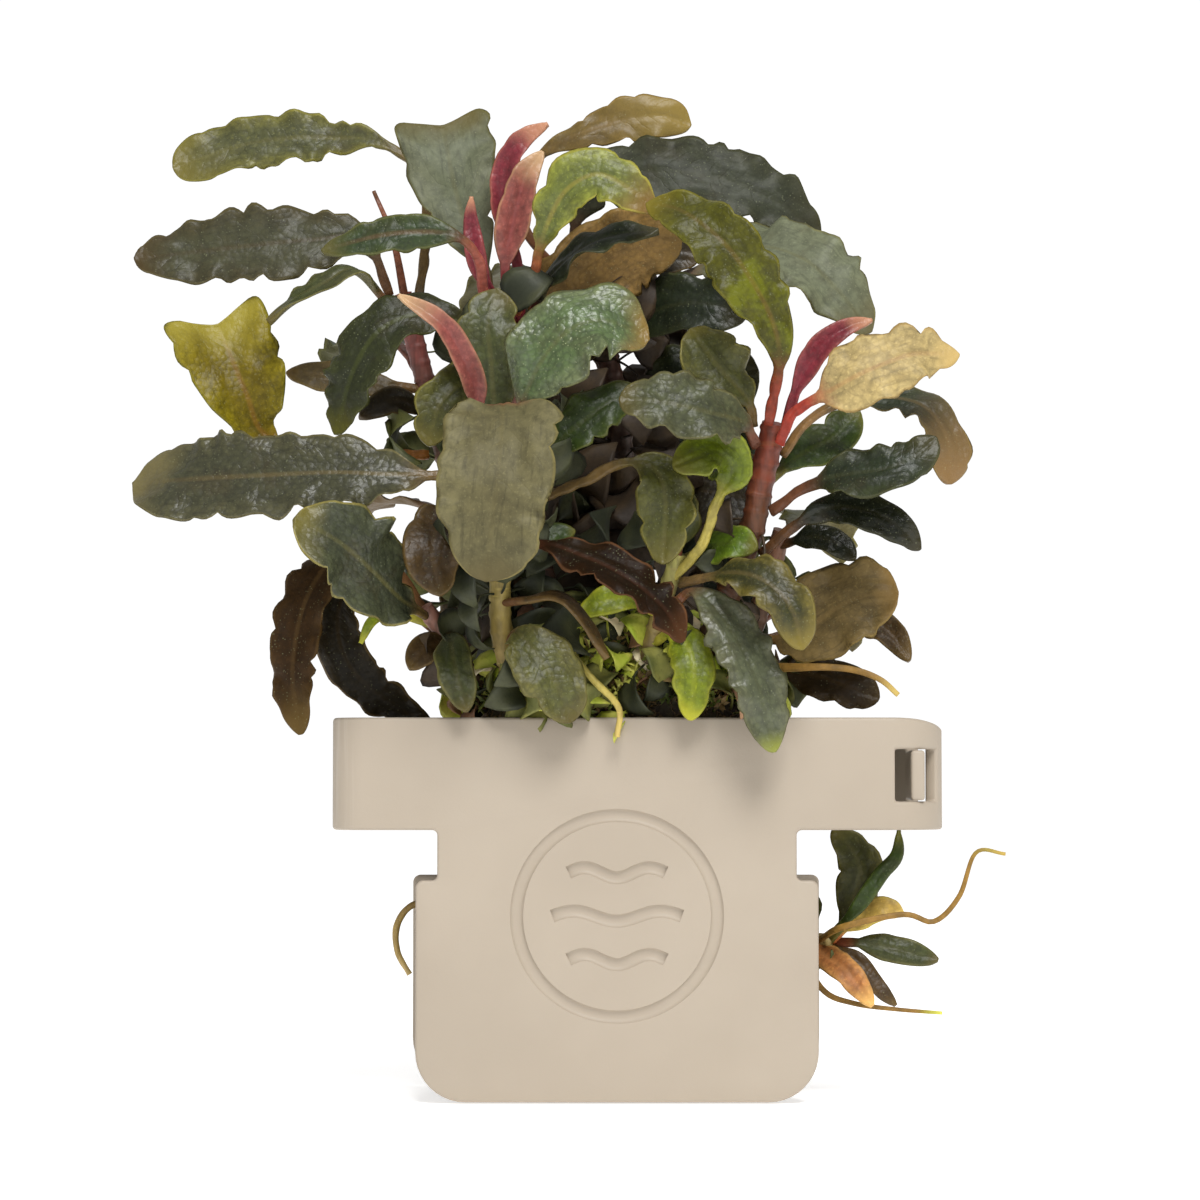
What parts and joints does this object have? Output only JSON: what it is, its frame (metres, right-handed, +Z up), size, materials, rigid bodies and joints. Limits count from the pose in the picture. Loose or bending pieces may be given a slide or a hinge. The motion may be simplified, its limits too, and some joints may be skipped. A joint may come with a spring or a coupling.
{
  "type": "bucephalandra",
  "caption": "Emersed bucephalandra, an aquarium plant with wavy leathery leaves on creeping stems, its root ball held between the plates of a folded beige plastic holder.",
  "frame": {"origin": "middle of the front plate's foot, the flat lower edge that the holder stands on", "axes": "+Z up, -Y out of the holder's front face toward the viewer, +X to the viewer's right, toward the end with the window and tongue"},
  "size_m": [0.1161, 0.075, 0.1346],
  "materials": {
    "holder": "beige, fine matte",
    "root_ball": "fibrous, moss on top",
    "root": "satin",
    "stem": "satin",
    "leaf_green": "waxy, satin",
    "leaf_dark": "waxy, glossy",
    "leaf_brown": "waxy, satin",
    "leaf_yellow_green": "waxy, satin",
    "leaf_pink": "young leaf, satin",
    "leaf_straw": "dry, matte"
  },
  "bodies": {
    "root": {"holder": "holder", "leaf_back_1": "leaf_green", "leaf_back_2": "leaf_green", "leaf_back_3": "leaf_green", "leaf_back_4": "leaf_green", "leaf_back_5": "leaf_green", "leaf_back_6": "leaf_green", "leaf_back_7": "leaf_green", "leaf_front_brown_veined": "leaf_brown", "leaf_front_dark_green": "leaf_green", "leaf_front_glossy_teal": "leaf_dark", "leaf_front_grey": "leaf_green", "leaf_front_hanging": "leaf_green", "leaf_front_low_grey": "leaf_green", "leaf_front_maroon": "leaf_brown", "leaf_front_rolled_pink": "leaf_pink", "leaf_front_round_olive": "leaf_green", "leaf_left_broad_horned": "leaf_yellow_green", "leaf_left_chocolate": "leaf_brown", "leaf_left_curved_dark": "leaf_brown", "leaf_left_dark_brown": "leaf_brown", "leaf_left_dark_green": "leaf_green", "leaf_left_edge_on": "leaf_dark", "leaf_left_long": "leaf_green", "leaf_left_pale_margin": "leaf_green", "leaf_low_blue_green": "leaf_dark", "leaf_low_khaki_veined": "leaf_green", "leaf_middle_teal": "leaf_dark", "leaf_right_big_yellow_green": "leaf_yellow_green", "leaf_right_black": "leaf_dark", "leaf_right_centre_grey": "leaf_green", "leaf_right_centre_olive": "leaf_green", "leaf_right_glossy_teal": "leaf_dark", "leaf_right_low_brown": "leaf_brown", "leaf_right_magenta_spear": "leaf_pink", "leaf_right_straw": "leaf_straw", "leaf_right_taupe_tip": "leaf_brown", "leaf_right_taupe_underside": "leaf_brown", "leaf_top_arching": "leaf_green", "leaf_top_edge_on": "leaf_dark", "leaf_top_left_olive": "leaf_green", "leaf_top_long_stalk": "leaf_brown", "leaf_top_pale_pink": "leaf_pink", "leaf_top_red_spear": "leaf_pink", "leaf_top_right_dark": "leaf_dark", "leaf_top_right_grey": "leaf_green", "leaf_top_small_teal": "leaf_dark", "leaf_top_yellow_green": "leaf_yellow_green", "root_ball": "root_ball", "root_left_loop": "root", "root_over_band": "root", "side_shoot": "stem", "stem_back": "stem", "stem_back_left": "stem", "stem_centre": "stem", "stem_centre_low": "stem", "stem_front": "stem", "stem_left_low": "stem", "stem_right": "stem", "stem_right_low": "stem"}
  },
  "joints": []
}
